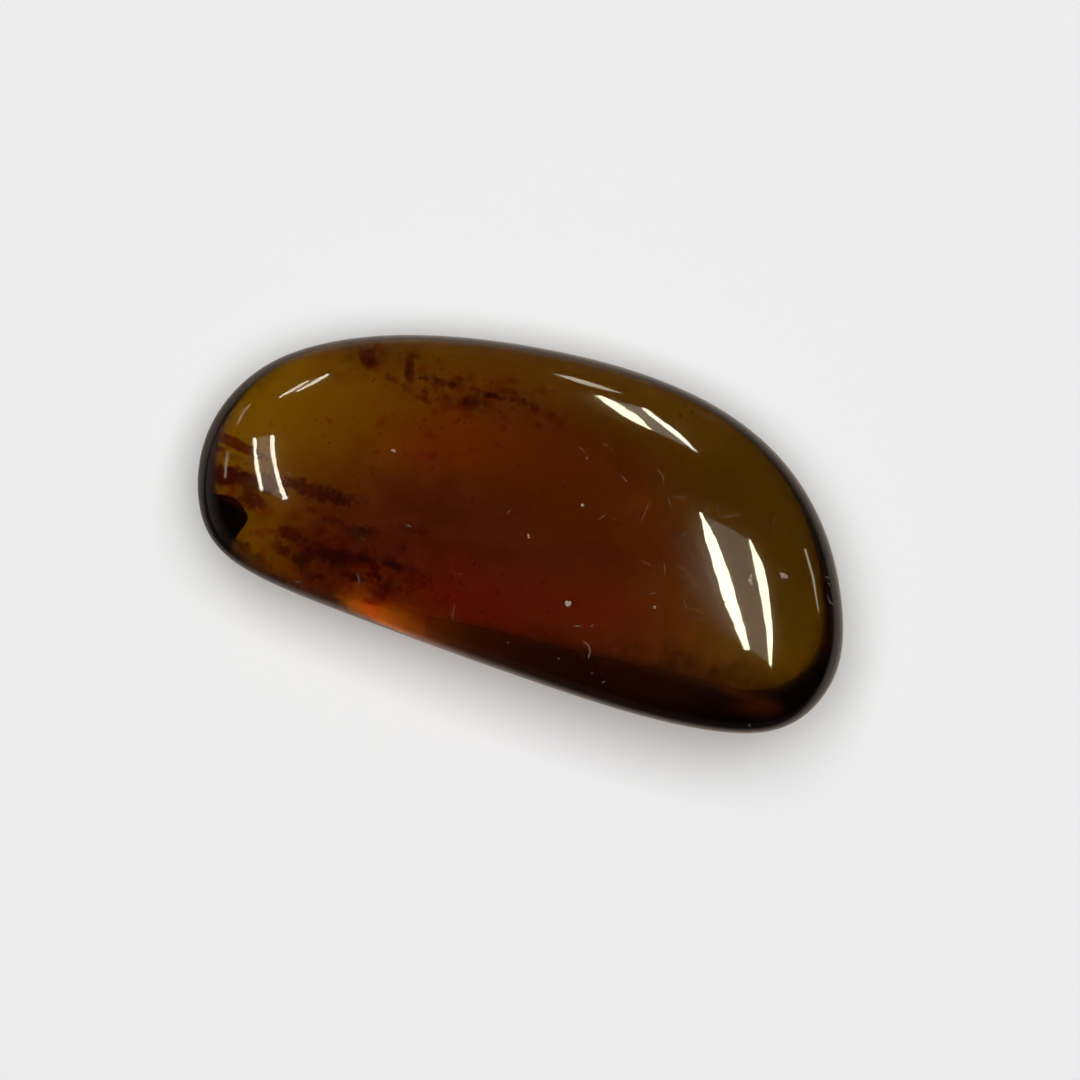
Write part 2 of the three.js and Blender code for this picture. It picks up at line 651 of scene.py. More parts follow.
@dataclass(frozen=True)
class AmberFinish:
    """Clear polished amber, golden olive at the ends and red-brown where fine dust clouds it, with
    painted light and shade in its base colour.

    Lengths are in millimetres, and what is absorbed is for each of them. The satin of the
    underside is full from worn_from below the outline.
    """

    index: float = 1.54
    roughness: float = 0.015
    worn: float = 0.17
    worn_from: float = 1.6
    waves: float = 0.003
    wave_size: float = 1.1
    wave_detail: float = 6.0
    wave_roughness: float = 0.42
    absorbed: tuple[float, float, float] = (0.092, 0.150, 0.62)
    haze: float = 0.14
    haze_roughness: float = 0.13
    smoke_reach: float = 4.4
    smoke_size: float = 1.6
    smoke_detail: float = 6.0
    smoke_roughness: float = 0.62
    colour_and_shade_zones: tuple[Zone, ...] = (
        # Painted shade: darkens the right end as a whole.
        Zone((27.0, 5.0), (28.0, 20.0), 0.0, (0.36, 0.40, 0.7)),
        Zone((14.0, 8.0), (4.5, 3.0), -0.6, (0.8, 0.8, 0.9)),
        Zone((3.0, 5.2), (10.5, 4.6), 0.0, (0.73, 0.74, 0.9)),
        Zone((-0.5, -1.1), (12.5, 8.2), 0.0, (0.96, 0.62, 0.4), 0.5),
        Zone((-0.5, -0.6), (10.0, 5.2), 0.0, (0.75, 0.84, 0.8)),
        Zone((-7.0, -2.6), (9.5, 3.4), 0.0, (0.60, 0.58, 0.5)),
        Zone((-2.0, -6.8), (12.5, 4.6), 0.0, (0.96, 0.48, 0.4)),
        Zone((8.0, -4.9), (7.0, 2.6), 0.1, (1.0, 0.64, 0.8)),
        Zone((-10.4, -7.0), (6.0, 3.2), 0.0, (0.74, 0.42, 0.5)),
        Zone((-10.7, -4.4), (5.5, 2.2), 0.0, (0.78, 0.62, 0.6)),
        Zone((5.0, -0.2), (4.5, 2.5), 0.0, (0.87, 0.98, 0.9)),
        Zone((10.5, 4.0), (5.0, 3.4), 0.0, (0.85, 0.85, 0.9)),
        Zone((-13.4, 6.3), (5.4, 2.7), 0.3, (0.48, 0.32, 0.4)),
        Zone((-18.9, 2.4), (2.6, 1.5), 0.9, (0.6, 0.55, 0.7)),
        Zone((-7.0, 8.5), (13.0, 5.5), 0.0, (0.80, 0.78, 0.6)),
        # Painted shade: these three deepen the dark band along the lower right edge.
        Zone((10.0, -11.0), (17.0, 6.5), 0.13, (0.26, 0.10, 0.3), 0.6),
        Zone((8.0, -7.0), (10.0, 1.2), 0.1, (0.7, 0.6, 0.5)),
        Zone((17.0, -8.0), (5.0, 3.2), 0.3, (0.5, 0.4, 0.5)),
    )

    def tint_and_shade(self, nodes: Nodes) -> bpy.types.NodeSocket:
        """Multiply what every zone passes, with edges that wander like smoke: partly the amber's own
        colour and partly painted light and shade inside the stone.

        A zone passes its own share at its centre and everything past its radii, by a smooth step
        over its soft share of the distance from its centre in radii. The smoke moves each place
        by up to half its reach before that distance is taken.

        Args:
            nodes: The material's nodes.

        Returns:
            The base colour of each place on the surface, with its painted light and shade.
        """
        place = nodes.place()
        smoke = nodes.noise(
            place, 1 / (self.smoke_size * MM), self.smoke_detail, self.smoke_roughness
        ).outputs["Color"]
        centred = nodes.add("VectorMath", smoke, (0.5, 0.5, 0.5), operation="SUBTRACT").outputs[0]
        far = (self.smoke_reach * MM,) * 3
        wander = nodes.add("VectorMath", centred, far, place, operation="MULTIPLY_ADD").outputs[0]
        tint_and_shade = (1.0, 1.0, 1.0)
        for zone in self.colour_and_shade_zones:
            own = nodes.add(
                "Mapping", vector_type="TEXTURE", Vector=wander,
                Location=(*(MM * v for v in zone.centre), 0.0), Rotation=(0.0, 0.0, zone.turn),
                Scale=(*(MM * v for v in zone.radii), 1.0),
            )
            share = nodes.ramp(nodes.length(own.outputs[0]), (1.0, 1 - zone.soft))
            tint_and_shade = nodes.blend(share, tint_and_shade, zone.passed, "MULTIPLY")
        return tint_and_shade

    def polish(self, nodes: Nodes, form: StoneForm) -> bpy.types.NodeSocket:
        """Polish the dome and leave the underside satin.

        Args:
            nodes: The material's nodes.
            form: The stone, whose leaning outline parts the two.

        Returns:
            The roughness of each place on the surface.
        """
        up = (-form.girdle_lean.x, -form.girdle_lean.y, 1.0)
        level = nodes.add("VectorMath", nodes.place(), up, operation="DOT_PRODUCT")
        satin_to = (form.girdle - self.worn_from) * MM
        return nodes.ramp(
            level.outputs["Value"], (satin_to, form.girdle * MM), (self.worn, self.roughness)
        )

    def build(self, form: StoneForm) -> bpy.types.Material:
        """Make the material.

        Args:
            form: The stone.

        Returns:
            A clear shader with a plain absorbing volume.
        """
        material, nodes, shader = new_material("amber")
        waves = nodes.noise(
            nodes.place(), 1 / (self.wave_size * MM), self.wave_detail, self.wave_roughness
        )
        # The base colour holds the amber's own colour and the painted light and shade.
        nodes.dress(
            shader, Base_Color=self.tint_and_shade(nodes), Roughness=self.polish(nodes, form),
            Normal=nodes.bump(waves.outputs["Fac"], 1.0, self.waves * MM), IOR=self.index,
            Transmission_Weight=1.0, Coat_Weight=self.haze, Coat_Roughness=self.haze_roughness,
        )
        most = max(self.absorbed)
        passed = tuple(1 - share / most for share in self.absorbed)
        volume = nodes.add("VolumeAbsorption", Color=(*passed, 1.0), Density=most / MM)
        nodes.end("Volume", volume.outputs[0])
        return material


@dataclass
class AmberBody:
    """The stone itself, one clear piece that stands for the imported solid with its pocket."""

    form: StoneForm
    finish: AmberFinish = AmberFinish()
    round: int = 320
    over: int = 150
    crowding: float = 1.3

    def build(self) -> bpy.types.Object:
        """Make the stone on a grid whose rows crowd at the outline.

        Returns:
            The piece.
        """
        side = np.linspace(-1, 1, self.over + 1)[1:-1]
        angle = math.pi / 2 * (1 + np.sign(side) * np.abs(side) ** self.crowding)
        share = np.arange(self.round) / self.round
        grid = self.form.surface(*np.broadcast_arrays(share[None, :], angle[:, None]))
        ends = self.form.surface(np.zeros(2), np.array([0.0, math.pi]))
        points, faces = closed_grid(grid, ends[0], ends[1])
        points = np.clip(points, *(np.array(corner) / MM for corner in CAD_BOX))
        piece = make_piece("amber_body", points, faces)
        piece.data.materials.append(self.finish.build(self.form))
        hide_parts("amber")
        return piece


@dataclass(frozen=True)
class BarkFinish:
    """Near-black fossil bark with a faint fibre."""

    colour: tuple[float, float, float] = (0.012, 0.002, 0.001)
    darker: float = 0.4
    roughness: float = 0.6
    fibres: float = 900.0
    drawn: tuple[float, float, float] = (1.0, 4.0, 4.0)
    fibre_detail: float = 4.0
    relief: float = 0.05
    relief_strength: float = 0.5

    def build(self) -> bpy.types.Material:
        """Make the material.

        Returns:
            A dark shader with stretched noise for its fibre.
        """
        material, nodes, shader = new_material("bark")
        along = nodes.add("Mapping", Vector=nodes.place(), Scale=self.drawn).outputs[0]
        fibre = nodes.noise(along, self.fibres, self.fibre_detail).outputs["Fac"]
        dark = tuple(self.darker * part for part in self.colour)
        nodes.dress(
            shader, Base_Color=nodes.blend(fibre, dark, self.colour), Roughness=self.roughness,
            Specular_IOR_Level=0.0,
            Normal=nodes.bump(fibre, self.relief_strength, self.relief * MM),
        )
        return material


@dataclass
class BarkFragment:
    """The dark lump in the left end, just under the polished face."""

    form: StoneForm
    centre: tuple[float, float, float] = (-18.25, -6.18, 3.4)
    radii: tuple[float, float, float] = (2.02, 1.3, 1.8)
    turn: float = 0.1
    heart: tuple[float, float, float] = (-17.7, -5.8, 3.7)
    skin: float = 0.04
    rim: float = 0.996
    swell: float = 0.03
    ripple: float = 0.02
    search: float = 2.5
    halvings: int = 24
    round: int = 72
    over: int = 40

    def inside(self, point: np.ndarray) -> np.ndarray:
        """Say which points are in the lump and under the stone's skin.

        The lump is an ellipsoid whose radius swells by the sine of three times its turn, and
        ripples by the sine of seven times its turn and five times its height.

        Args:
            point: The x, y and z of each point.

        Returns:
            True for each point that is inside both.
        """
        c, s = math.cos(self.turn), math.sin(self.turn)
        away = point - self.centre
        along = (away[..., 0] * c + away[..., 1] * s) / self.radii[0]
        across = (away[..., 1] * c - away[..., 0] * s) / self.radii[1]
        upward = away[..., 2] / self.radii[2]
        reach = np.sqrt(along**2 + across**2 + upward**2)
        round_ = np.arctan2(across, along)
        limit = 1 + self.swell * np.sin(3 * round_ + 0.6) + self.ripple * np.sin(7 * round_ + 5 * upward)
        place = point[..., :2]
        above = point[..., 2] > self.form.bottom(place) + self.skin
        below = point[..., 2] < self.form.top(place) - self.skin
        held = self.form.spokes(place, self.form.crown)[1] < self.rim
        return (reach < limit) & above & below & held

    def build(self) -> bpy.types.Object:
        """Make the lump: from its heart each direction runs out to where it stops being inside.

        Returns:
            The piece.
        """
        angle = np.linspace(0, math.pi, self.over + 1)
        way = directions(angle, np.linspace(0, 2 * math.pi, self.round, endpoint=False))
        heart = np.array(self.heart)
        low = np.zeros(way.shape[:2])
        high = np.full(way.shape[:2], self.search * max(self.radii))
        for _ in range(self.halvings):
            middle = (low + high) / 2
            within = self.inside(heart + way * middle[..., None])
            low = np.where(within, middle, low)
            high = np.where(within, high, middle)
        grid = heart + way * low[..., None]
        points, faces = closed_grid(grid[1:-1], grid[0, 0], grid[-1, 0])
        piece = make_piece("bark_lump", points, faces)
        piece.data.materials.append(BarkFinish().build())
        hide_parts("bark_fragment")
        return piece


Trace = tuple[tuple[float, float], ...]


def follow(trace: Trace, count: int) -> np.ndarray:
    """Run a smooth curve through a trace's points.

    Between two points it is the cubic that has both, with the mean slope of its neighbours at
    each, and the places on it are even in the length of the straight lines between the points.

    Args:
        trace: The points, at least two.
        count: How many places to give.

    Returns:
        The places.
    """
    points = np.array(trace, float)
    knots = np.concatenate([[0.0], np.cumsum(np.hypot(*np.diff(points, axis=0).T))])
    slopes = np.gradient(points, knots, axis=0)
    at = np.linspace(0, knots[-1], count)
    i = np.clip(np.searchsorted(knots, at, side="right") - 1, 0, len(knots) - 2)
    span = (knots[i + 1] - knots[i])[:, None]
    u = (at - knots[i])[:, None] / span
    return (
        (2 * u**3 - 3 * u**2 + 1) * points[i]
        + (u**3 - 2 * u**2 + u) * span * slopes[i]
        + (3 * u**2 - 2 * u**3) * points[i + 1]
        + (u**3 - u**2) * span * slopes[i + 1]
    )


def spread(unit: np.ndarray, places: np.ndarray, radii: np.ndarray, turns: np.ndarray) -> np.ndarray:
    """Copy a unit shape to many places.

    Each copy is scaled along its own axes, then turned about X, Y and Z in that order.

    Args:
        unit: The shape's points, the same for all or with a first index by copy.
        places: Each copy's centre.
        radii: Each copy's three radii.
        turns: Each copy's three angles.

    Returns:
        All points, copy by copy.
    """
    c, s = np.cos(turns), np.sin(turns)
    point = unit * radii[:, None, :]
    x, y, z = np.moveaxis(point, -1, 0)
    (cx, cy, cz), (sx, sy, sz) = c.T[..., None], s.T[..., None]
    y, z = cx * y - sx * z, sx * y + cx * z
    x, z = cy * x + sy * z, cy * z - sy * x
    x, y = cz * x - sz * y, sz * x + cz * y
    return (np.stack([x, y, z], axis=-1) + places[:, None, :]).reshape(-1, 3)


def copied_faces(faces: list, points: int, count: int) -> list:
    """Repeat a shape's faces for each of its copies."""
    return [[v + points * copy for v in face] for copy in range(count) for face in faces]


@dataclass(frozen=True)
class Cloud:
    """A patch of the picture that holds scattered debris: pixels, degrees and millimetres."""

    centre: tuple[float, float]
    reach: tuple[float, float]
    turn: float
    count: int
    size: tuple[float, float]
    depth: tuple[float, float] = (0.2, 0.8)
    stretch: float = 1.5


@dataclass
class Scatter:
    """Shares out debris in clouds, the same on each run.

    Uneven is how far the logarithms of a piece's radii stray, and tilt how far its turns do, in
    radians. Thinness is the share of its width that its height has.
    """

    sight: Sight
    seed: int
    thinning: float = 0.7
    smallness: float = 1.5
    uneven: float = 0.25
    thinness: float = 0.7
    tilt: float = 0.35
    tilts: tuple[float, float, float] = (0.6, 0.6, 1.0)

    def __post_init__(self) -> None:
        """Start the draws."""
        self.draw = np.random.default_rng(self.seed)

    def of(self, cloud: Cloud) -> tuple[np.ndarray, np.ndarray, np.ndarray]:
        """Draw the places, radii and turns of a cloud's pieces.

        A piece's distance from the cloud's middle is an even draw to the power of the thinning.
        Its size runs from small to large by an even draw to the power of the smallness, so that
        small pieces are commoner than large ones.

        Args:
            cloud: The cloud.

        Returns:
            The places, the three radii and the three turns of each piece.
        """
        count = cloud.count
        away = self.draw.random(count) ** self.thinning
        round_ = self.draw.random(count) * 2 * math.pi
        local = np.stack([away * np.cos(round_), away * np.sin(round_)], axis=-1) * cloud.reach
        c, s = math.cos(math.radians(cloud.turn)), math.sin(math.radians(cloud.turn))
        px = np.array(cloud.centre) + local @ np.array([[c, s], [-s, c]])
        low, high = cloud.depth
        places = self.sight.within(px, low + self.draw.random(count) * (high - low))
        small, large = cloud.size
        size = small * (large / small) ** (self.draw.random(count) ** self.smallness)
        shape = np.exp(self.draw.normal(0, self.uneven, (count, 3)))
        radii = size[:, None] / 2 * shape * (cloud.stretch, 1, self.thinness)
        turns = self.draw.normal(0, self.tilt, (count, 3)) * self.tilts
        return places, radii, turns

    def clouds(self, clouds: tuple[Cloud, ...]) -> tuple[np.ndarray, np.ndarray, np.ndarray]:
        """Draw several clouds, one after the other, and join what they give."""
        drawn = [self.of(cloud) for cloud in clouds]
        return tuple(np.concatenate(part) for part in zip(*drawn))


@dataclass(frozen=True)
class DustFinish:
    """Matte dark red-brown plant dust."""

    dark: tuple[float, float, float] = (0.16, 0.03, 0.005)
    pale: tuple[float, float, float] = (0.36, 0.09, 0.012)
    alpha: float = 0.12
    roughness: float = 0.9
    patches: float = 1500.0
    detail: float = 2.0

    def build(self) -> bpy.types.Material:
        """Make the material.

        Returns:
            A matte shader whose colour differs from grain to grain.
        """
        material, nodes, shader = new_material("dust")
        noise = nodes.noise(nodes.place(), self.patches, self.detail).outputs["Fac"]
        nodes.dress(
            shader, Base_Color=nodes.blend(noise, self.dark, self.pale), Roughness=self.roughness,
            Specular_IOR_Level=0.0, Alpha=self.alpha,
        )
        return material


@dataclass(frozen=True)
class FilmFinish:
    """A see-through stain that thins out to nothing at its ragged edges.

    The grain is the noise's size in millimetres. The stain starts where its thickness is over
    ragged times what the noise lacks to cover, and soft is how much more makes it full.
    """

    name: str
    passed: tuple[float, float, float]
    grain: float = 0.35
    ragged: float = 1.1
    cover: float = 0.6
    soft: float = 0.55
    stretch: float = 1.0
    body: float = 0.0
    stuff: tuple[float, float, float] = (0.11, 0.009, 0.002)
    detail: float = 4.0
    roughness: float = 0.65

    def build(self) -> bpy.types.Material:
        """Make the material.

        The stain's strength is a smooth step of the mesh's own thickness, moved up and down by
        noise. The body's share of it is matte stuff, and the rest only takes light away.

        Returns:
            A transparent shader, mixed with a matte one.
        """
        material, nodes, _ = new_material(self.name)
        drawn = nodes.add("Mapping", Vector=nodes.place(), Scale=(1 / self.stretch, 1.0, 1.0))
        noise = nodes.noise(drawn.outputs[0], 1 / (self.grain * MM), self.detail, self.roughness)
        moved = nodes.add(
            "Math", noise.outputs["Fac"], self.ragged, nodes.stored("thick"), operation="MULTIPLY_ADD"
        )
        least = self.cover * self.ragged
        strength = nodes.ramp(moved.outputs[0], (least, least + self.soft))
        stain = nodes.blend(strength, (1.0, 1.0, 1.0), self.passed)
        film = nodes.add("BsdfTransparent", Color=stain).outputs[0]
        matte = nodes.add("BsdfDiffuse", Color=(*self.stuff, 1.0)).outputs[0]
        mixed = nodes.add("MixShader", nodes.times(strength, self.body), film, matte)
        nodes.end("Surface", mixed.outputs[0])
        return material


@dataclass
class Dust:
    """Grains of plant dust, each a small closed lump."""

    sight: Sight
    seed: int = 11
    sides: int = 6
    rows: int = 3
    bump: float = 0.22
    bump_limit: float = 2.0
    clouds: tuple[Cloud, ...] = (
        Cloud((428, 380), (34, 24), 20, 16, (0.14, 0.36), (0.2, 0.75)),
        Cloud((505, 400), (66, 16), 12, 18, (0.12, 0.36), (0.2, 0.75)),
        Cloud((440, 395), (100, 45), 20, 90, (0.06, 0.22), (0.1, 0.8)),
        Cloud((352, 455), (60, 55), 0, 40, (0.08, 0.26), (0.2, 0.8), 1.2),
        Cloud((280, 425), (45, 35), 0, 16, (0.07, 0.20), (0.2, 0.8), 1.2),
        Cloud((325, 545), (95, 46), 20, 55, (0.06, 0.2), (0.1, 0.8), 1.9),
        Cloud((268, 555), (30, 26), 30, 20, (0.12, 0.28), (0.1, 0.6), 1.3),
        Cloud((440, 580), (95, 38), 18, 50, (0.06, 0.2), (0.1, 0.7), 1.6),
        Cloud((540, 500), (150, 95), 20, 200, (0.04, 0.12), (0.1, 0.8)),
        Cloud((686, 414), (12, 9), 0, 5, (0.15, 0.28), (0.4, 0.6), 1.0),
        Cloud((272, 424), (2, 2), 0, 1, (0.34, 0.36), (0.5, 0.6), 1.3),
    )

    def lump(self) -> tuple[np.ndarray, list]:
        """Make a sphere of few faces.

        Returns:
            Its points and faces.
        """
        angle = np.linspace(0, math.pi, self.rows + 2)[1:-1]
        rows = directions(angle, np.linspace(0, 2 * math.pi, self.sides, endpoint=False))
        return closed_grid(rows, np.array([0.0, 0.0, 1.0]), np.array([0.0, 0.0, -1.0]))

    def build(self) -> bpy.types.Object:
        """Make all grains as one mesh.

        Returns:
            The piece.
        """
        scatter = Scatter(self.sight, self.seed)
        places, radii, turns = scatter.clouds(self.clouds)
        unit, faces = self.lump()
        drawn = scatter.draw.normal(0, 1, (len(places), len(unit), 1))
        bumps = 1 + self.bump * drawn.clip(-self.bump_limit, self.bump_limit)
        points = spread(unit * bumps, places, radii, turns)
        piece = make_piece(
            "dust_grains", points, copied_faces(faces, len(unit), len(places))
        )
        piece.data.materials.append(DustFinish().build())
        return piece


def give_thickness(piece: bpy.types.Object, thick: np.ndarray) -> None:
    """Write a stain's thickness from 0 to 1 into a piece's points."""
    attribute = piece.data.attributes.new("thick", "FLOAT", "POINT")
    attribute.data.foreach_set("value", thick.ravel())


@dataclass
class Flakes:
    """Soft red-brown flakes of dust, each a cupped disc that thins out to its edge."""

    sight: Sight
    seed: int = 23
    sides: int = 10
    cup: float = 0.5
    rings: tuple[float, float] = (0.5, 1.0)
    inner_thick: float = 0.6
    finish: FilmFinish = FilmFinish("flakes", (0.9, 0.56, 0.42), ragged=0.9, soft=1.0)
    clouds: tuple[Cloud, ...] = (
        Cloud((385, 362), (44, 22), 0, 7, (0.5, 1.1), (0.2, 0.7)),
        Cloud((430, 384), (56, 30), 20, 13, (0.5, 1.1), (0.2, 0.7)),
        Cloud((510, 400), (78, 22), 12, 18, (0.5, 1.1), (0.2, 0.7)),
        Cloud((420, 430), (110, 50), 15, 22, (0.3, 0.8), (0.2, 0.7)),
        Cloud((325, 543), (95, 42), 20, 12, (0.5, 1.3), (0.15, 0.75), 2.0),
        Cloud((268, 555), (30, 26), 30, 7, (0.4, 0.9), (0.1, 0.6), 1.4),
        Cloud((415, 590), (95, 32), 18, 12, (0.5, 1.2), (0.15, 0.6), 2.0),
        Cloud((248, 500), (24, 12), 20, 4, (0.6, 1.1), (0.3, 0.7), 1.6),
    )

    def disc(self) -> tuple[np.ndarray, list, np.ndarray]:
        """Make a cupped disc of two rings.

        Returns:
            Its points, its faces and its thickness at each point.
        """
        turn = np.linspace(0, 2 * math.pi, self.sides, endpoint=False)
        rings = [
            np.stack([r * np.cos(turn), r * np.sin(turn), 0 * turn - self.cup * r**2], axis=-1)
            for r in self.rings
        ]
        points = np.vstack([np.zeros((1, 3)), *rings])
        near = 1 + np.arange(self.sides)
        after = np.roll(near, -1)
        fan = np.stack([np.zeros(self.sides, int), near, after], axis=-1).tolist()
        band = np.stack([near, near + self.sides, after + self.sides, after], axis=-1).tolist()
        inner, outer = np.full(self.sides, self.inner_thick), np.zeros(self.sides)
        thick = np.concatenate([[1.0], inner, outer])
        return points, fan + band, thick

    def build(self) -> bpy.types.Object:
        """Make all flakes as one mesh.

        Returns:
            The piece.
        """
        scatter = Scatter(self.sight, self.seed)
        places, radii, turns = scatter.clouds(self.clouds)
        unit, faces, thick = self.disc()
        points = spread(unit, places, radii, turns)
        piece = make_piece(
            "dust_flakes", points, copied_faces(faces, len(unit), len(places))
        )
        piece.data.materials.append(self.finish.build())
        give_thickness(piece, np.tile(thick, len(places)))
        return piece


@dataclass(frozen=True)
class Film:
    """A stained flow film, by the pixels of its two edges and its depth from 0 to 1 at each end.

    A film that the rim cuts off lacks that share of its length at its start.
    """

    first: Trace
    second: Trace
    depth: tuple[float, float] = (0.5, 0.5)
    thick: float = 1.0
    cut: float = 0.0


@dataclass
class FlowFilms:
    """Dark red films between the resin's flows, most of them in the left end."""

    sight: Sight
    name: str = "flow_films"
    finish: FilmFinish = FilmFinish(
        "flow_films", (0.62, 0.26, 0.2), grain=0.5, ragged=2.4, soft=0.9, body=0.4
    )
    along: int = 25
    across: int = 11
    sag: float = 0.06
    wave: float = 0.02
    waves: float = 9.0
    films: tuple[Film, ...] = (
        Film(((215, 426), (234, 434), (252, 444), (274, 458)),
             ((213, 441), (230, 449), (246, 457), (264, 466)), (0.7, 0.6), 1.6, 0.2),
        Film(((209, 441), (218, 443), (227, 447)),
             ((209, 453), (218, 454), (227, 452)), (0.6, 0.6), 1.4, 0.3),
        Film(((209, 454), (228, 461), (250, 467), (280, 474), (300, 484)),
             ((209, 488), (226, 491), (248, 495), (278, 502), (298, 506)), (0.5, 0.5), 1.3, 0.4),
        Film(((210, 457), (228, 463), (248, 468), (268, 476)),
             ((210, 486), (226, 488), (248, 490), (266, 494)), (0.65, 0.6), 1.0, 0.4),
        Film(((258, 464), (284, 470), (312, 479), (340, 486), (368, 500)),
             ((262, 480), (288, 492), (314, 504), (342, 511), (366, 512)), (0.65, 0.4), 1.2),
        Film(((212, 490), (230, 493), (243, 503), (247, 518), (244, 530)),
             ((212, 500), (225, 504), (234, 512), (236, 521), (234, 530)), (0.72, 0.72), 1.1),
        Film(((234, 488), (250, 487), (272, 496)), ((236, 505), (252, 513), (270, 512)), (0.4, 0.4), 1.3),
        Film(((258, 566), (275, 572), (292, 580)), ((258, 574), (273, 582), (290, 590)), (0.3, 0.3), 0.8),
    )

    def sheet(self, film: Film) -> tuple[np.ndarray, np.ndarray]:
        """Lay one film between its edges.

        The lines between its two edges are straight. It sags between them by a sine, and waves
        along them by another. Its thickness is its own times a sine of the share across times
        the root of one of the share along, counted from where the rim cuts it.

        Args:
            film: The film.

        Returns:
            The grid of points and their thickness.
        """
        shares = np.linspace(0, 1, self.along)
        over = np.linspace(0, 1, self.across)[None, :]
        first, second = (follow(trace, self.along)[:, None] for trace in (film.first, film.second))
        px = first + over[..., None] * (second - first)
        start, end = film.depth
        low = self.sag * np.sin(math.pi * over) + self.wave * np.sin(self.waves * shares)[:, None]
        points = self.sight.within(px, start + (end - start) * shares[:, None] - low)
        rise = np.abs(np.sin(math.pi * (film.cut + (1 - film.cut) * shares)))
        thick = np.sin(math.pi * over) * np.sqrt(rise)[:, None]
        return points, film.thick * thick

    def build(self) -> bpy.types.Object:
        """Make all films as one mesh.

        Returns:
            The piece.
        """
        sheets = [self.sheet(film) for film in self.films]
        one = quads(self.along, self.across).tolist()
        faces = copied_faces(one, self.along * self.across, len(sheets))
        points = np.concatenate([points.reshape(-1, 3) for points, _ in sheets])
        piece = make_piece(self.name, points, faces)
        piece.data.materials.append(self.finish.build())
        give_thickness(piece, np.concatenate([thick.ravel() for _, thick in sheets]))
        return piece


DUSTY_FINISH = FilmFinish(
    "dusty_films", (0.84, 0.46, 0.35),
    grain=0.7, ragged=5.0, cover=0.66, soft=1.0, stretch=1.5, body=0.12,
)
DUSTY_FILMS = (
    Film(((264, 500), (300, 512), (340, 522), (400, 538), (450, 555)),
         ((270, 566), (300, 584), (340, 600), (400, 612), (450, 626)), (0.35, 0.3), 1.2),
    Film(((262, 508), (330, 522), (390, 538), (450, 556)),
         ((262, 556), (330, 586), (390, 602), (450, 614)), (0.65, 0.5), 1.1),
    Film(((268, 508), (300, 510), (334, 520), (366, 532), (400, 548)),
         ((266, 556), (298, 566), (330, 574), (364, 582), (398, 590)), (0.45, 0.4), 1.2),
    Film(((300, 552), (340, 560), (380, 572), (420, 584)),
         ((306, 590), (340, 602), (376, 610), (416, 622)), (0.3, 0.25), 1.2),
    Film(((380, 342), (430, 350), (480, 362), (540, 378), (600, 396)),
         ((376, 398), (420, 412), (470, 422), (530, 430), (596, 428)), (0.6, 0.6), 0.6),
    Film(((346, 342), (380, 341), (420, 343)),
         ((350, 384), (385, 396), (418, 402)), (0.6, 0.6), 0.7),
    Film(((380, 350), (430, 356), (480, 368), (540, 384)),
         ((384, 392), (420, 404), (470, 414), (530, 422)), (0.4, 0.4), 0.5),
    Film(((300, 440), (350, 430), (400, 425), (450, 425)),
         ((300, 500), (350, 520), (400, 525), (450, 520)), (0.4, 0.5), 0.4),
    Film(((430, 545), (480, 552), (540, 562), (600, 578)),
         ((420, 612), (480, 630), (540, 640), (600, 645)), (0.3, 0.3), 0.6),
)
SMUDGE_FINISH = FilmFinish(
    "smudges", (0.66, 0.3, 0.25), grain=0.4, ragged=1.8, soft=0.9, body=0.15,
)
SMUDGES = (
    Film(((357, 343), (368, 343), (379, 344)), ((358, 367), (368, 373), (377, 363)), (0.65, 0.65), 1.3),
    Film(((404, 344), (410, 345), (415, 346)), ((403, 390), (410, 394), (416, 386)), (0.6, 0.6), 1.2),
    Film(((419, 384), (429, 387)), ((420, 403), (430, 403)), (0.5, 0.5), 0.8),
    Film(((430, 371), (446, 377)), ((429, 388), (446, 392)), (0.6, 0.6), 1.1),
    Film(((443, 378), (459, 383)), ((443, 388), (459, 391)), (0.6, 0.6), 1.0),
    Film(((468, 384), (481, 387)), ((468, 393), (481, 394)), (0.6, 0.6), 1.0),
    Film(((482, 389), (499, 392)), ((482, 399), (499, 400)), (0.6, 0.6), 1.3),
    Film(((474, 396), (508, 405)), ((476, 416), (506, 422)), (0.5, 0.5), 0.5),
    Film(((508, 393), (526, 398)), ((508, 404), (525, 407)), (0.6, 0.6), 0.9),
    Film(((529, 398), (541, 402)), ((529, 414), (540, 416)), (0.6, 0.6), 1.2),
    Film(((278, 522), (304, 527)), ((279, 541), (303, 545)), (0.5, 0.5), 1.3),
    Film(((312, 538), (352, 548)), ((314, 562), (350, 570)), (0.5, 0.5), 1.2),
    Film(((318, 510), (348, 518)), ((318, 522), (346, 529)), (0.6, 0.6), 0.9),
    Film(((306, 503), (324, 508)), ((306, 514), (322, 518)), (0.6, 0.6), 0.8),
    Film(((356, 548), (380, 555)), ((356, 562), (378, 569)), (0.5, 0.5), 1.0),
    Film(((380, 556), (408, 563)), ((380, 568), (406, 574)), (0.5, 0.5), 1.0),
    Film(((304, 566), (328, 572)), ((306, 580), (328, 586)), (0.4, 0.4), 0.9),
    Film(((338, 566), (366, 574)), ((338, 578), (364, 586)), (0.4, 0.4), 0.9),
    Film(((248, 549), (266, 559)), ((246, 556), (262, 566)), (0.6, 0.6), 0.7),
    Film(((240, 539), (253, 543)), ((240, 546), (252, 550)), (0.6, 0.6), 0.6),
    Film(((270, 540), (292, 546)), ((272, 556), (290, 562)), (0.5, 0.5), 1.0),
    Film(((352, 520), (384, 528)), ((352, 534), (382, 541)), (0.6, 0.6), 0.8),
    Film(((396, 518), (432, 526)), ((396, 532), (430, 540)), (0.6, 0.6), 0.8),
)
PALE_FINISH = FilmFinish(
    "pale_films", (0.95, 0.9, 0.8),
    grain=0.6, ragged=2.4, soft=0.9, body=0.5, stuff=(0.2, 0.09, 0.012),
)
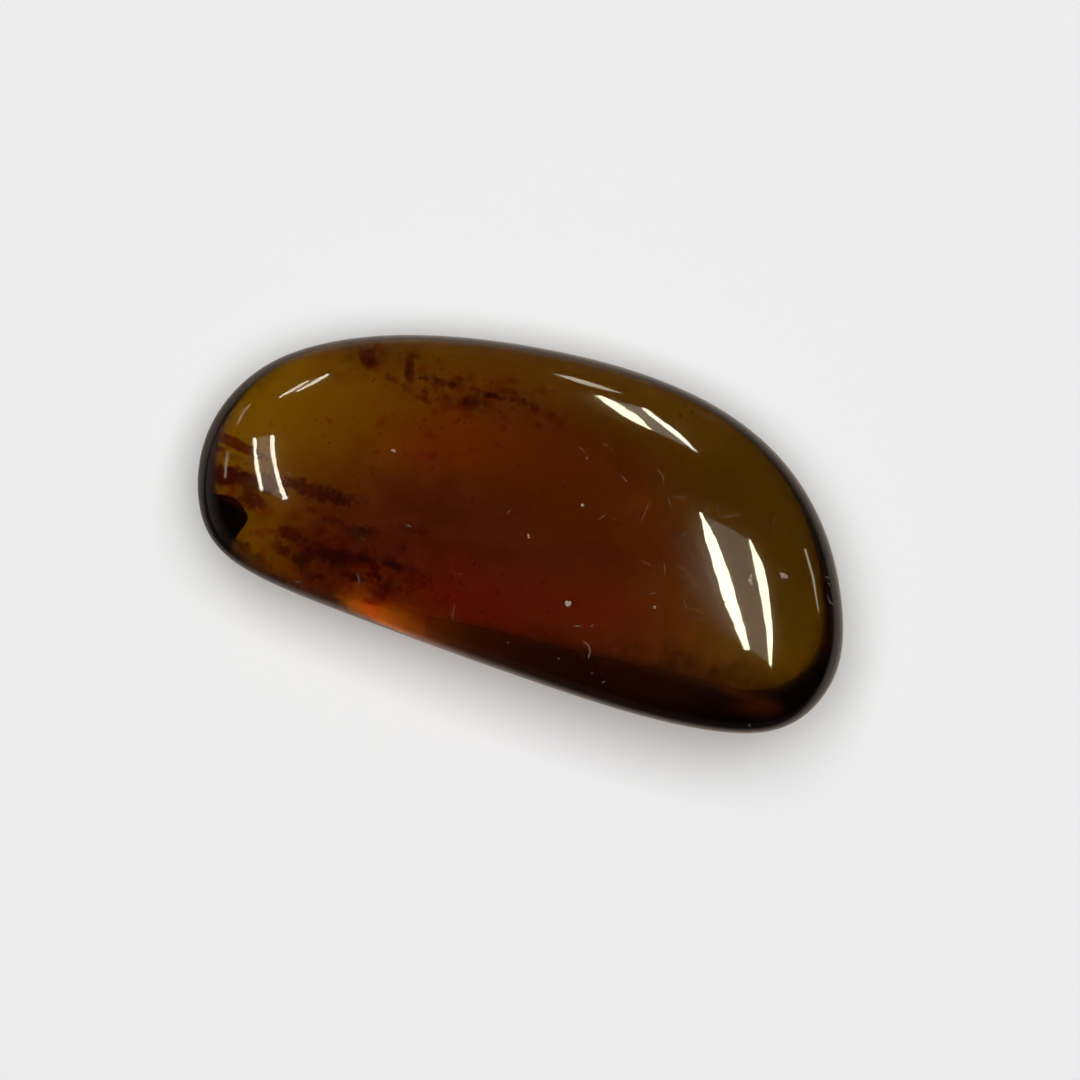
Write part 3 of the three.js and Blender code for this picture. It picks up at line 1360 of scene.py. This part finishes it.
PALE_FILMS = (
    Film(((224, 540), (234, 556), (248, 569), (268, 582)),
         ((238, 534), (252, 546), (266, 556), (284, 568)), (0.7, 0.6), 1.4),
    Film(((220, 446), (238, 454), (256, 462)), ((220, 456), (236, 464), (252, 471)), (0.8, 0.8), 1.1),
    Film(((236, 468), (250, 472), (266, 480)), ((238, 490), (252, 496), (266, 498)), (0.8, 0.8), 0.9),
)


@dataclass(frozen=True)
class MarkFinish:
    """The pale bruise that a knock or a scratch leaves in the polish."""

    colour: tuple[float, float, float] = (0.5, 0.4, 0.34)
    roughness: float = 0.6
    patches: float = 9000.0
    detail: float = 2.0
    patch_span: tuple[float, float] = (0.3, 0.7)
    gain: float = 2.0

    def build(self) -> bpy.types.Material:
        """Make the material.

        Returns:
            A rough pale shader, broken up by noise so that the polish shows between its parts.
        """
        material, nodes, shader = new_material("polish_marks")
        noise = nodes.noise(nodes.place(), self.patches, self.detail).outputs["Fac"]
        shown = nodes.ramp(noise, self.patch_span, (0.0, self.gain), "LINEAR")
        nodes.dress(
            shader, Alpha=nodes.times(shown, nodes.stored("thick"), use_clamp=True),
            Base_Color=(*self.colour, 1.0), Roughness=self.roughness,
        )
        return material


@dataclass(frozen=True)
class Mark:
    """A mark on the dome, by the pixels that it runs through and its width in pixels."""

    trace: Trace
    width: float


@dataclass
class PolishMarks:
    """Small chips, bruises and hairline scratches in the polish of the dome."""

    sight: Sight
    proud: float = 0.004
    steps: int = 12
    wide: float = 2.0
    strong: float = 0.5
    faint: float = 0.18
    seed: int = 5
    hair_width: float = 0.7
    end_cut: float = 0.02
    fullness: float = 0.4
    hairs: tuple[Cloud, ...] = (
        Cloud((694, 570), (46, 78), 0, 26, (4.0, 20.0)),
        Cloud((772, 580), (30, 80), 0, 8, (4.0, 14.0)),
        Cloud((640, 430), (80, 36), 20, 6, (4.0, 12.0)),
        Cloud((500, 500), (170, 90), 15, 12, (3.0, 10.0)),
    )
    marks: tuple[Mark, ...] = (
        Mark(((566, 601), (568, 604), (571, 602)), 5.5),
        Mark(((653, 608), (656, 607)), 3.0),
        Mark(((528, 534), (529, 538)), 2.4),
        Mark(((581, 505), (584, 505)), 3.0),
        Mark(((586, 457), (588, 459)), 1.6),
        Mark(((752, 574), (750, 580), (752, 585)), 3.2),
        Mark(((780, 573), (784, 576), (788, 577)), 4.6),
        Mark(((779, 579), (783, 577)), 1.6),
        Mark(((391, 450), (394, 451), (395, 453)), 2.2),
        Mark(((825, 576), (829, 578), (832, 577)), 1.3),
        Mark(((828, 582), (830, 586)), 1.2),
        Mark(((827, 594), (829, 600), (832, 604), (835, 604)), 1.3),
        Mark(((582, 641), (587, 644), (590, 650), (588, 659)), 1.4),
        Mark(((592, 672), (592, 674)), 1.6),
        Mark(((602, 683), (605, 681)), 1.2),
        Mark(((574, 626), (580, 626)), 1.2),
        Mark(((591, 626), (593, 626)), 1.8),
        Mark(((557, 658), (560, 659)), 1.2),
        Mark(((507, 642), (509, 643)), 1.4),
        Mark(((455, 604), (453, 613), (452, 622)), 1.0),
        Mark(((357, 573), (359, 580), (358, 587)), 1.3),
        Mark(((722, 518), (730, 516), (739, 515)), 0.9),
        Mark(((776, 514), (774, 521), (771, 528)), 0.8),
        Mark(((406, 525), (412, 527)), 1.2),
        Mark(((361, 538), (364, 540)), 1.2),
        Mark(((295, 582), (301, 582)), 1.8),
        Mark(((748, 724), (751, 727)), 1.4),
        Mark(((287, 470), (290, 474), (293, 477)), 1.6),
        Mark(((621, 474), (626, 481)), 0.8),
        Mark(((655, 468), (662, 475), (664, 486)), 0.7),
        Mark(((668, 497), (672, 508)), 0.7),
        Mark(((650, 500), (646, 510), (641, 522)), 0.6),
        Mark(((676, 540), (688, 532), (699, 527)), 0.6),
        Mark(((598, 520), (607, 514)), 0.6),
        Mark(((640, 560), (652, 566)), 0.6),
        Mark(((690, 590), (698, 581)), 0.7),
    )

    def scratches(self) -> list[Mark]:
        """Draw the hairlines of each patch, which lie every way and are mostly short.

        Returns:
            The marks.
        """
        draw = np.random.default_rng(self.seed)
        marks = []
        for patch in self.hairs:
            away = np.sqrt(draw.random(patch.count))
            round_ = draw.random(patch.count) * 2 * math.pi
            middle = patch.centre + np.stack([np.cos(round_), np.sin(round_)], axis=-1) * (
                away[:, None] * patch.reach
            )
            short, long = patch.size
            length = short * (long / short) ** draw.random(patch.count)
            way = draw.random(patch.count) * math.pi
            half = np.stack([np.cos(way), np.sin(way)], axis=-1) * length[:, None] / 2
            ends = np.stack([middle - half, middle + half], axis=1)
            marks += [Mark(tuple(map(tuple, pair)), self.hair_width) for pair in ends]
        return marks

    def strip(self, mark: Mark) -> np.ndarray:
        """Lay one mark on the dome.

        Its half width is the mark's own times a half sine to the power of the fullness, so that
        both ends are round.

        Args:
            mark: The mark.

        Returns:
            The grid of its two edges and its middle.
        """
        shares = np.linspace(0, 1, self.steps)
        px = follow(mark.trace, self.steps)
        way = np.gradient(px, axis=0)
        way /= np.hypot(*way.T)[:, None]
        side = np.stack([-way[:, 1], way[:, 0]], axis=-1)
        part = self.end_cut + (1 - 2 * self.end_cut) * shares
        half = mark.width / 2 * np.sin(math.pi * part) ** self.fullness
        px = px[:, None] + np.array([-1, 0, 1])[None, :, None] * (side * half[:, None])[:, None]
        point = self.sight.on_dome(px)
        return point + self.proud * self.sight.form.upright(point[..., :2])

    def build(self) -> bpy.types.Object:
        """Make all marks as one mesh.

        Returns:
            The piece.
        """
        marks = [*self.marks, *self.scratches()]
        strips = [self.strip(mark).reshape(-1, 3) for mark in marks]
        count = 3 * self.steps
        upward = quads(self.steps, 3)[:, [0, 3, 2, 1]].tolist()
        faces = copied_faces(upward, count, len(strips))
        piece = make_piece("polish_marks", np.concatenate(strips), faces)
        piece.data.materials.append(MarkFinish().build())
        strong = np.array([self.strong if mark.width > self.wide else self.faint for mark in marks])
        give_thickness(piece, np.repeat(strong, count))
        return piece


@dataclass(frozen=True)
class Mirrored:
    """A bright strip of the ceiling, by the pixels that it fills in the dome's reflection.

    The two edges run side by side, each through the same number of points.
    """

    name: str
    bright: float
    first: Trace
    second: Trace
    soft: bool = False
    colour: tuple[float, float, float] = (1.0, 0.98, 0.8)


CREAM = (1.0, 0.97, 0.67)
MIRRORED = (
    Mirrored("right_tube", 30.0,
             ((699, 512), (708, 545), (719, 585), (732, 620), (745, 650)),
             ((702, 512), (718, 545), (732, 585), (742, 618), (750, 650)), colour=CREAM),
    Mirrored("right_thin_tube", 26.0,
             ((749, 540), (755, 568), (761.5, 599), (766, 632), (769.5, 665)),
             ((751, 540), (763, 567), (769.5, 599), (772.5, 632), (771.5, 668)), colour=CREAM),
    Mirrored("right_panel", 1.05,
             ((704, 514), (719, 545), (733, 585), (743, 618), (751, 650)),
             ((749, 540), (755, 568), (761.5, 599), (766, 632), (769.5, 664))),
    Mirrored("upper_tube", 24.0,
             ((596, 396), (611, 407), (632, 421), (651, 430)),
             ((600, 395), (619, 404), (641, 419), (653, 431)), colour=CREAM),
    Mirrored("upper_thin_tube", 22.0,
             ((641, 408), (656, 420), (675, 435), (694, 450)),
             ((645, 408), (660, 419), (680, 434), (698, 452))),
    Mirrored("upper_panel", 1.6,
             ((612, 400), (622, 406), (642, 419), (654, 431)),
             ((640, 407), (656, 420), (675, 435), (692, 449))),
    Mirrored("far_upper_strip", 6.0,
             ((553, 373), (568, 379), (590, 386), (624, 394)),
             ((556, 374), (572, 377), (596, 384), (622, 393))),
    Mirrored("upper_left_tube", 11.0,
             ((279, 397), (293, 388), (308, 380)),
             ((280, 398), (294, 390), (309, 381))),
    Mirrored("upper_left_thin_tube", 12.0,
             ((296, 391), (310, 383), (328, 373)),
             ((297, 392), (312, 385), (329, 375))),
    Mirrored("left_tube", 20.0,
             ((253, 438), (254, 455), (256, 473), (260, 491)),
             ((256, 438), (257, 455), (260, 473), (264, 491))),
    Mirrored("left_thin_tube", 20.0,
             ((270, 435), (271, 455), (276, 478), (283, 500)),
             ((274, 435), (275, 455), (280, 478), (288, 500))),
    Mirrored("left_panel", 1.2,
             ((257, 438), (258, 455), (261, 473), (265, 491)),
             ((270, 435), (271, 455), (276, 478), (283, 500))),
    Mirrored("far_left_strip", 3.0,
             ((227, 452), (225, 464), (224, 478)),
             ((229, 452), (227, 464), (226, 478))),
    Mirrored("far_corner_strip", 2.0,
             ((249, 404), (242, 412), (237, 424)),
             ((251, 405), (244, 413), (239, 424))),
    Mirrored("far_right_strip", 4.5,
             ((804, 549), (812, 578), (818, 612)),
             ((806, 549), (814, 578), (819, 612))),
    Mirrored("right_veil", 0.55,
             ((648, 522), (660, 550), (676, 590), (702, 628)),
             ((702, 528), (710, 556), (721, 594), (740, 642)), soft=True, colour=(0.95, 0.92, 0.95)),
)


@dataclass
class Studio:
    """The pale floor and the soft light. Lengths are in metres."""

    sight: Sight
    floor_side: float = 3.0
    floor_drop: float = 2e-5
    floor_colour: float = 0.94
    # Painted reflection: the floor's colour as the polish mirrors it, near the stone and far off.
    floor_mirrored: tuple[float, float, float] = (0.52, 0.44, 0.38)
    floor_far: float = 0.04
    floor_near: tuple[float, float] = (1.0, 2.6)
    floor_roughness: float = 0.9
    floor_shine: float = 0.1
    shade_fade_halves: tuple[float, float] = (0.055, 0.0115)
    dim: float = 0.01
    backdrop: float = 0.9
    top_side: float = 1.2
    top_place: tuple[float, float, float] = (0.0, 0.1, 1.5)
    top_light: float = 5.3
    reach: float = 0.6
    steps: int = 24
    across: int = 9
    soft_power: float = 1.5
    patches: float = 70.0
    detail: float = 3.0
    patch_span: tuple[float, float] = (0.35, 0.62)
    wall: tuple[tuple[float, float], ...] = (
        (81.4, 0.2), (82.3, 28.0), (83.4, 28.0), (84.2, 6.0), (85.6, 0.8), (88.0, 0.36),
        (95.0, 0.4), (98.0, 0.36), (104.0, 0.2), (108.0, 0.26), (112.0, 0.36), (116.0, 0.26),
        (120.0, 0.15), (132.0, 0.07), (140.0, 0.03),
    )
    wall_up: tuple[float, float] = (0.0, 26.0)
    wall_mottled: float = 0.6
    skyline: tuple[tuple[float, float], ...] = (
        (150.0, 0.0), (168.0, 0.36), (200.0, 0.36), (225.0, 0.1), (250.0, 0.0),
    )
    skyline_up: tuple[float, float] = (0.0, 24.0)
    skyline_rows: int = 6
    skyline_reach: float = 0.8
    skyline_colour: tuple[float, float, float] = (1.0, 0.9, 0.85)

    def floor(self) -> None:
        """Make the floor, a plain matte sheet that shows darker in the polish than to the eye, a painted
        reflection of shade.

        What the polish shows of it is painted shade, darker still with the distance from the stone, by an
        ellipse.
        """
        half = self.floor_side / 2
        corners = [(-half, -half), (half, -half), (half, half), (-half, half)]
        mesh = bpy.data.meshes.new("floor")
        mesh.from_pydata([(x, y, -self.floor_drop) for x, y in corners], [], [(0, 1, 2, 3)])
        material, nodes, shader = new_material("floor")
        path = nodes.add("LightPath").outputs
        # Painted shade in reflections: rays that the polish mirrors see a darker floor.
        mirrored = nodes.add(
            "Math", path["Is Glossy Ray"], path["Is Transmission Ray"], operation="SUBTRACT",
            use_clamp=True,
        )
        halves = (*(1 / side for side in self.shade_fade_halves), 0.0)
        scaled = nodes.add("VectorMath", nodes.place(), halves, operation="MULTIPLY")
        faded = nodes.ramp(nodes.length(scaled.outputs[0]), self.floor_near)
        shown = nodes.blend(faded, self.floor_mirrored, (self.floor_far,) * 3)
        colour = nodes.blend(mirrored.outputs[0], (self.floor_colour,) * 3, shown)
        nodes.dress(
            shader, Base_Color=colour, Roughness=self.floor_roughness,
            Specular_IOR_Level=self.floor_shine,
        )
        mesh.materials.append(material)
        put("floor", mesh)

    def world(self) -> None:
        """Make the surroundings dim, with a pale backdrop where the camera looks past the floor."""
        world = bpy.data.worlds.new("studio")
        bpy.context.scene.world = world
        world.use_nodes = True
        nodes = Nodes(world.node_tree)
        dim, pale = (
            nodes.add("Background", Color=(1.0, 1.0, 1.0, 1.0), Strength=strength).outputs[0]
            for strength in (self.dim, self.backdrop)
        )
        seen = nodes.add("LightPath").outputs["Is Camera Ray"]
        nodes.end("Surface", nodes.add("MixShader", seen, dim, pale).outputs[0])

    def lamp(self) -> None:
        """Hang the square lamp that lights the stone and the floor but not the polish.

        Its power is its radiance times pi times its area, and it faces the stone.
        """
        data = bpy.data.lights.new("top", "AREA")
        data.shape = "RECTANGLE"
        data.size = self.top_side
        data.size_y = self.top_side
        data.energy = self.top_light * math.pi * self.top_side**2
        lamp = put("top", data)
        place = Vector(self.top_place)
        turned = place.to_track_quat("Z", "Y").to_matrix().to_4x4()
        lamp.matrix_world = Matrix.Translation(place) @ turned
        lamp.visible_camera = False
        lamp.visible_glossy = False

    def sheet(
        self, name: str, grid: np.ndarray, bright: np.ndarray, colour: tuple[float, float, float],
        mottled: float = 0.0,
    ) -> bpy.types.Object:
        """Hang a sheet of light.

        Args:
            name: The sheet's name.
            grid: Its points, in metres.
            bright: Its radiance at each point.
            colour: The light's colour.
            mottled: How much noise darkens it, from 0 to 1.

        Returns:
            The sheet, which no eye and no floor sees directly.
        """
        rows, across = grid.shape[:2]
        mesh = bpy.data.meshes.new(name)
        mesh.from_pydata(grid.reshape(-1, 3).tolist(), [], quads(rows, across).tolist())
        stored = mesh.attributes.new("bright", "FLOAT", "POINT")
        stored.data.foreach_set("value", np.broadcast_to(bright, (rows, across)).ravel())
        material, nodes, _ = new_material(name)
        strength = nodes.stored("bright")
        if mottled:
            noise = nodes.noise(nodes.place(), self.patches, self.detail).outputs["Fac"]
            strength = nodes.times(nodes.ramp(noise, self.patch_span, (1 - mottled, 1.0)), strength)
        light = nodes.add("Emission", Color=(*colour, 1.0), Strength=strength)
        nodes.end("Surface", light.outputs[0])
        mesh.materials.append(material)
        piece = put(name, mesh)
        piece.visible_camera = False
        piece.visible_diffuse = False
        piece.visible_shadow = False
        return piece

    def hang(self, strip: Mirrored) -> None:
        """Hang a strip where the dome mirrors its pixels.

        Each row runs straight from the first edge to the second, and each point lies at the
        lamps' reach from the dome along the direction that the dome mirrors there. A soft strip
        gains towards its second edge by a power of the share, and its ends by a sine.

        Args:
            strip: The strip.
        """
        share = np.linspace(0, 1, self.across)[None, :]
        first, second = (follow(edge, self.steps)[:, None] for edge in (strip.first, strip.second))
        point, way = self.sight.mirrored(first + share[..., None] * (second - first))
        bright = np.full((self.steps, 1), strip.bright)
        if strip.soft:
            ends = np.sin(math.pi * np.linspace(0, 1, self.steps))[:, None]
            bright = bright * ends * share**self.soft_power
        piece = self.sheet(strip.name, point * MM + way * self.reach, bright, strip.colour)
        piece.visible_transmission = False

    @staticmethod
    def around(round_: np.ndarray, up: np.ndarray, reach: float) -> np.ndarray:
        """Find points of a sphere round the stone.

        Args:
            round_: Degrees about Z.
            up: Degrees above the floor.
            reach: The sphere's radius.

        Returns:
            A grid with a row for each turn and a column for each height.
        """
        turn = np.radians(round_)[:, None]
        up = np.radians(up)[None, :]
        return reach * np.stack(
            [np.cos(turn) * np.cos(up), np.sin(turn) * np.cos(up), np.sin(up) + 0 * turn], axis=-1
        )

    def glow(self) -> None:
        """Hang the lit wall that shows, turned back by the underside, along the lower edge."""
        round_, bright = np.array(self.wall).T
        grid = self.around(round_, np.array(self.wall_up), self.reach)
        piece = self.sheet("lit_wall", grid, bright[:, None], (1.0, 1.0, 1.0), self.wall_mottled)
        piece.visible_glossy = False

    def veil(self) -> None:
        """Hang the dim surroundings past the floor, which show in the polish close to the rim.

        They fade upwards by a straight line.
        """
        round_, bright = np.array(self.skyline).T
        up = np.linspace(*self.skyline_up, self.skyline_rows)
        fade = np.linspace(1, 0, self.skyline_rows)
        grid = self.around(round_, up, self.skyline_reach)
        piece = self.sheet("skyline", grid, bright[:, None] * fade, self.skyline_colour)
        piece.visible_transmission = False

    def build(self) -> None:
        """Make the floor, the surroundings and every light."""
        self.floor()
        self.world()
        self.lamp()
        self.glow()
        self.veil()
        for strip in MIRRORED:
            self.hang(strip)


def main() -> None:
    """Build the stone, what is sealed in it and the studio, in order."""
    form = StoneForm()
    sight = Sight(form)
    sight.build()
    parts = (
        AmberBody(form), BarkFragment(form), Dust(sight), Flakes(sight), FlowFilms(sight),
        FlowFilms(sight, "dusty_films", DUSTY_FINISH, films=DUSTY_FILMS),
        FlowFilms(sight, "smudges", SMUDGE_FINISH, films=SMUDGES),
        FlowFilms(sight, "pale_films", PALE_FINISH, films=PALE_FILMS), PolishMarks(sight),
    )
    pieces = [part.build() for part in parts]
    Studio(sight).build()
    bpy.context.scene.view_settings.view_transform = "Standard"
    for piece in pieces:
        LOG.info("%s has %d faces", piece.name, len(piece.data.polygons))


if __name__ == "__main__":
    logging.basicConfig(level=logging.INFO, format="%(name)s: %(message)s")
    main()
